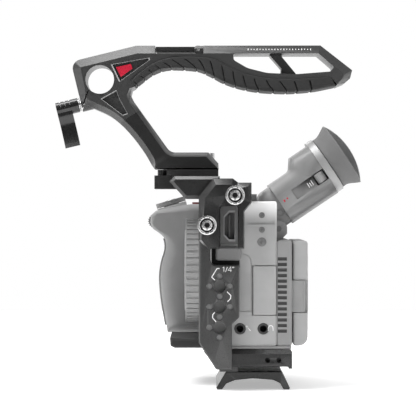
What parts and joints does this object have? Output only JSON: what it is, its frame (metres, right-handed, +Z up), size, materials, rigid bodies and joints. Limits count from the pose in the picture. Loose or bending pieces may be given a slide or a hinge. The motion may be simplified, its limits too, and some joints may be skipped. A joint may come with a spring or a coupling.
{
  "type": "cinema camera rig",
  "caption": "Compact cinema camera in a black cage with a tilting viewfinder, side monitor, dovetail foot and a top handle with a rod clamp.",
  "frame": {"origin": "on the standing surface, under the centre of the bounding box", "axes": "+Z up, lens towards -X, port side towards -Y, hand grip towards +Y"},
  "size_m": [0.1627, 0.1505, 0.1792],
  "materials": {
    "casing_silver": "satin",
    "casing_grey": "matte",
    "casing_dark": "matte",
    "steel_mount": "brushed",
    "cap_plastic": "matte",
    "sensor_glass": "clear",
    "circuit_board": "gloss",
    "fan_black": "matte",
    "grip_rubber": "grained",
    "battery_plastic": "matte",
    "button_metal": "satin",
    "dial_dark": "knurled",
    "record_red": "gloss",
    "socket_metal": "satin",
    "flap_rubber": "matte",
    "socket_plastic": "matte",
    "screw_steel": "satin",
    "screen_glass": "gloss",
    "finder_grey": "matte",
    "collar_metal": "satin",
    "cup_rubber": "matte",
    "lens_glass": "clear",
    "wheel_grey": "ribbed",
    "black_anodised": "satin",
    "block_rubber": "matte",
    "bolt_chrome": "polished",
    "screw_dark": "satin",
    "handle_anodised": "satin",
    "handle_grip": "ribbed",
    "accent_red": "satin",
    "lever_black": "polished"
  },
  "bodies": {
    "rig": {"front_casing": "casing_silver", "rear_casing": "casing_dark", "top_deck": "casing_grey", "base_cover": "casing_dark", "mount_ring": "steel_mount", "image_sensor": "sensor_glass", "main_board": "circuit_board", "fan_frame": "casing_dark", "grip_shell": "casing_grey", "grip_skin": "grip_rubber", "battery_pack": "battery_plastic", "top_buttons": "button_metal", "accessory_shoe": "steel_mount", "hdmi_socket": "socket_plastic", "port_flap": "flap_rubber", "usb_socket": "socket_metal", "audio_jacks": "socket_plastic", "side_screws": "dial_dark", "strap_lug": "steel_mount", "lcd_hinge": "casing_dark", "evf_base": "casing_dark", "evf_hinge_pin": "dial_dark", "cage_side_plate": "black_anodised", "cage_top_plate": "black_anodised", "cage_base_plate": "black_anodised", "cage_front_block": "block_rubber", "dovetail_foot": "black_anodised", "camera_screw": "screw_steel", "cage_bolts": "screw_dark", "hdmi_bracket": "black_anodised", "bracket_bolts": "bolt_chrome", "rail_block": "black_anodised", "handle_arm": "handle_anodised", "handle_head": "handle_anodised", "foot_bolts": "screw_steel", "handle_rubber": "handle_grip", "handle_strut": "handle_anodised", "accent_inlay": "accent_red", "tool_pin": "screw_steel"},
    "evf": {"evf_barrel": "finder_grey", "evf_collar": "collar_metal", "eyecup": "cup_rubber", "evf_lens": "lens_glass"},
    "diopter": {"diopter_wheel": "wheel_grey"},
    "lcd": {"lcd_housing": "casing_grey", "lcd_screen": "screen_glass"},
    "cap": {"body_cap": "cap_plastic"},
    "shutter": {"shutter_button": "button_metal"},
    "zoom": {"zoom_lever": "dial_dark"},
    "front_wheel": {"front_dial": "dial_dark"},
    "record": {"record_button": "record_red"},
    "rear_dial": {"control_dial": "dial_dark"},
    "fan": {"fan_rotor": "fan_black"},
    "battery_hatch": {"battery_door": "casing_grey"},
    "port_lid": {"port_door": "casing_silver"},
    "clamp": {"clamp_screw": "screw_steel", "clamp_lever": "lever_black", "clamp_washer": "screw_steel"},
    "lock_screw": {"handle_lock_screw": "screw_dark"},
    "key": {"tool_key": "screw_dark"}
  },
  "joints": [
    {"name": "viewfinder_tilt", "type": "hinge", "parent": "rig", "child": "evf", "pos_m": [0.0365, -0.034, 0.0825], "axis": [0, 1, 0], "range_deg": [-56, 34]},
    {"name": "diopter_turn", "type": "hinge", "parent": "evf", "child": "diopter", "pos_m": [0.05815, -0.0478, 0.10922], "axis": [-0.5592, 0, 0.829], "range_deg": [-140, 140]},
    {"name": "monitor_swing", "type": "hinge", "parent": "rig", "child": "lcd", "pos_m": [0.04775, -0.0555, 0.048], "axis": [0, 0, -1], "range_deg": [0, 170]},
    {"name": "cap_pull", "type": "slide", "parent": "rig", "child": "cap", "axis": [-1, 0, 0], "range_m": [0, 0.03]},
    {"name": "shutter_press", "type": "slide", "parent": "rig", "child": "shutter", "axis": [0.2756, 0, -0.9613], "range_m": [0, 0.001], "stiffness_N_per_m": 500, "springref_m": -0.001},
    {"name": "zoom_turn", "type": "hinge", "parent": "rig", "child": "zoom", "pos_m": [-0.0203, 0.054, 0.0942], "axis": [-0.2756, 0, 0.9613], "range_deg": [-25, 25], "stiffness_Nm_per_rad": 0.02},
    {"name": "front_wheel_turn", "type": "hinge", "parent": "rig", "child": "front_wheel", "pos_m": [-0.0296, 0.054, 0.0859], "axis": [0, 1, 0], "continuous": true},
    {"name": "record_press", "type": "slide", "parent": "rig", "child": "record", "axis": [0, 0, -1], "range_m": [0, 0.0006], "stiffness_N_per_m": 500, "springref_m": -0.001},
    {"name": "rear_dial_turn", "type": "hinge", "parent": "rig", "child": "rear_dial", "pos_m": [0.04, 0.024, 0.085], "axis": [1, 0, 0], "continuous": true},
    {"name": "fan_spin", "type": "hinge", "parent": "rig", "child": "fan", "pos_m": [0.03, 0.012, 0.05], "axis": [1, 0, 0], "continuous": true},
    {"name": "battery_hatch_swing", "type": "hinge", "parent": "rig", "child": "battery_hatch", "pos_m": [-0.0009, 0.0535, 0.0223], "axis": [0, -1, 0], "range_deg": [0, 90]},
    {"name": "port_lid_swing", "type": "hinge", "parent": "rig", "child": "port_lid", "pos_m": [0.0236, -0.05955, 0.051], "axis": [0, 0, -1], "range_deg": [0, 100]},
    {"name": "clamp_turn", "type": "hinge", "parent": "rig", "child": "clamp", "pos_m": [-0.0806, -0.012, 0.1454], "axis": [0.9724, 0, 0.2334], "range_deg": [-135, 135]},
    {"name": "lock_screw_turn", "type": "hinge", "parent": "rig", "child": "lock_screw", "pos_m": [-0.0245, -0.02, 0.112], "axis": [0, 0, 1], "continuous": true},
    {"name": "key_lift", "type": "hinge", "parent": "rig", "child": "key", "pos_m": [-0.0052, -0.012, 0.1769], "axis": [0, 1, 0], "range_deg": [0, 90]}
  ]
}
